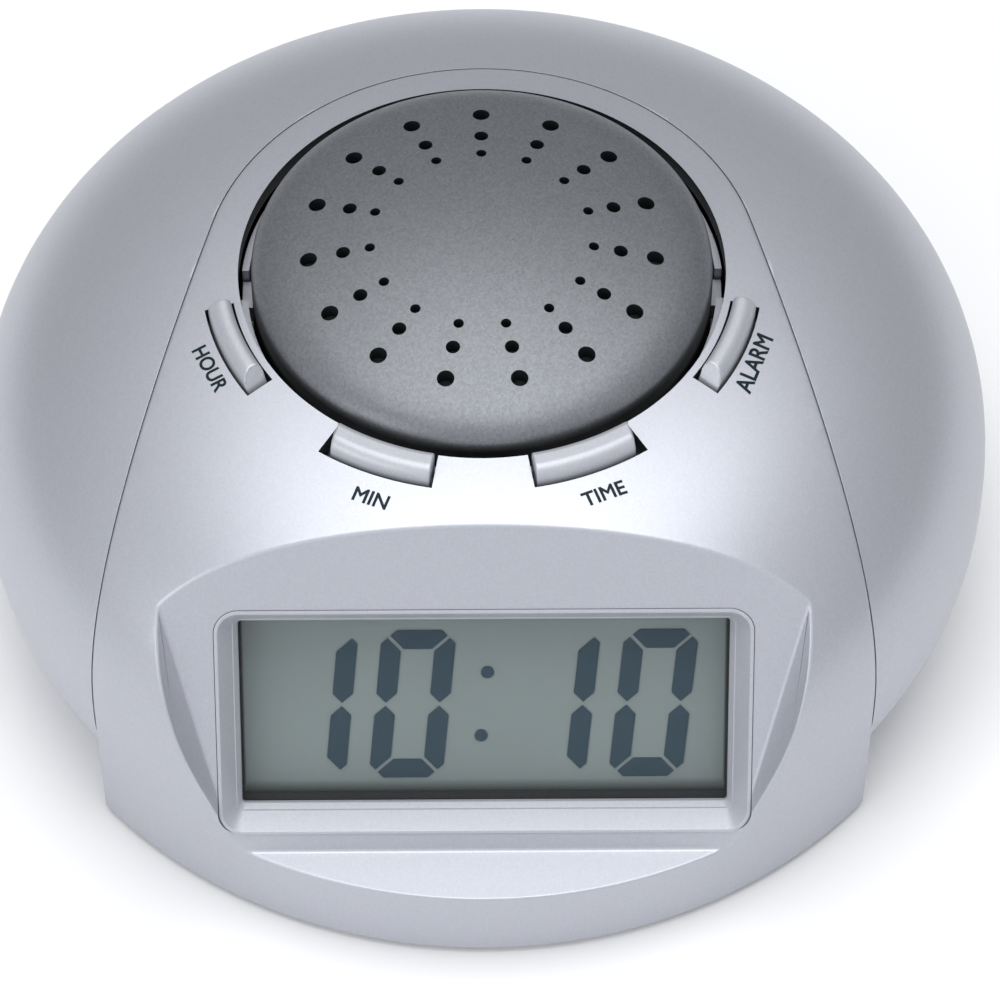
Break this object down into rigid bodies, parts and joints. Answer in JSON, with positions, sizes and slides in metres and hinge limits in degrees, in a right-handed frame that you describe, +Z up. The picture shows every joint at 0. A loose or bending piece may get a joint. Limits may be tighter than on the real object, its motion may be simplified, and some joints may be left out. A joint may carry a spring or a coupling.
{
  "type": "talking clock",
  "caption": "Dome-shaped talking table clock with a pressable speaker cap, setting keys, a sloped display and a battery door underneath.",
  "frame": {"origin": "on the table, under the axis of the dome", "axes": "+Z up, the display faces -Y, +X to the right of someone who reads the display"},
  "size_m": [0.12, 0.12, 0.0534],
  "materials": {
    "silver_paint": "pale silver-lilac metallic paint with fine sparkle over moulded plastic",
    "dark_silver_paint": "darker grey metallic paint over moulded plastic",
    "base_plastic": "moulded grey plastic, fine grain",
    "black_plastic": "moulded black plastic",
    "cloth": "thin black dust cloth",
    "clear_plastic": "clear polished plastic",
    "lcd_glass": "grey-green liquid crystal panel",
    "lcd_ink": "blue-slate driven segments",
    "white_plastic": "white diffuser",
    "rubber": "matt rubber",
    "board": "green resist on glass-fibre board",
    "steel": "zinc plated",
    "brass": "stamped",
    "can_sleeve": "shrunk dark blue sleeve",
    "magnet": "ferrite",
    "cone_paper": "pressed black paper",
    "cell": "plain printed steel can"
  },
  "bodies": {
    "housing": {"rear_shell": "silver_paint", "front_shell": "silver_paint", "base_plate": "base_plastic", "speaker_tray": "silver_paint", "cap_springs": "steel", "talk_switch": "black_plastic", "key_switches": "black_plastic", "key_board": "board", "lcd_bezel": "silver_paint", "lcd_lens": "clear_plastic", "lcd_frame": "black_plastic", "lcd_glass": "lcd_glass", "lcd_segments": "lcd_ink", "lcd_reflector": "white_plastic", "contact_strips": "rubber", "main_board": "board", "voice_chip": "black_plastic", "clock_crystal": "steel", "capacitors": "can_sleeve", "speaker_basket": "steel", "speaker_magnet": "magnet", "speaker_cone": "cone_paper", "speaker_gasket": "rubber", "battery_cells": "cell", "battery_springs": "steel", "battery_plates": "steel", "case_screws": "steel", "tray_screws": "steel", "speaker_screws": "steel", "board_screws": "steel", "rubber_feet": "rubber"},
    "cap": {"talk_cap": "dark_silver_paint", "dust_cloth": "cloth", "talk_plunger": "brass"},
    "hour": {"hour_key": "silver_paint", "hour_plunger": "brass"},
    "minute": {"minute_key": "silver_paint", "minute_plunger": "brass"},
    "time": {"time_key": "silver_paint", "time_plunger": "brass"},
    "alarm": {"alarm_key": "silver_paint", "alarm_plunger": "brass"},
    "door": {"battery_door": "base_plastic"}
  },
  "joints": [
    {"name": "cap_press", "type": "slide", "parent": "housing", "child": "cap", "axis": [0, 0, -1], "range_m": [0, 0.0015], "stiffness_N_per_m": 400, "springref_m": -0.0015, "deforming": ["cap_springs"]},
    {"name": "hour_press", "type": "slide", "parent": "housing", "child": "hour", "axis": [0, 0, -1], "range_m": [0, 0.0006], "stiffness_N_per_m": 500, "springref_m": -0.0005},
    {"name": "minute_press", "type": "slide", "parent": "housing", "child": "minute", "axis": [0, 0, -1], "range_m": [0, 0.0006], "stiffness_N_per_m": 500, "springref_m": -0.0005},
    {"name": "time_press", "type": "slide", "parent": "housing", "child": "time", "axis": [0, 0, -1], "range_m": [0, 0.0006], "stiffness_N_per_m": 500, "springref_m": -0.0005},
    {"name": "alarm_press", "type": "slide", "parent": "housing", "child": "alarm", "axis": [0, 0, -1], "range_m": [0, 0.0006], "stiffness_N_per_m": 500, "springref_m": -0.0005},
    {"name": "door_hinge", "type": "hinge", "parent": "housing", "child": "door", "pos_m": [0, 0.0004, 0.0016], "axis": [-1, 0, 0], "range_deg": [0, 80]}
  ]
}
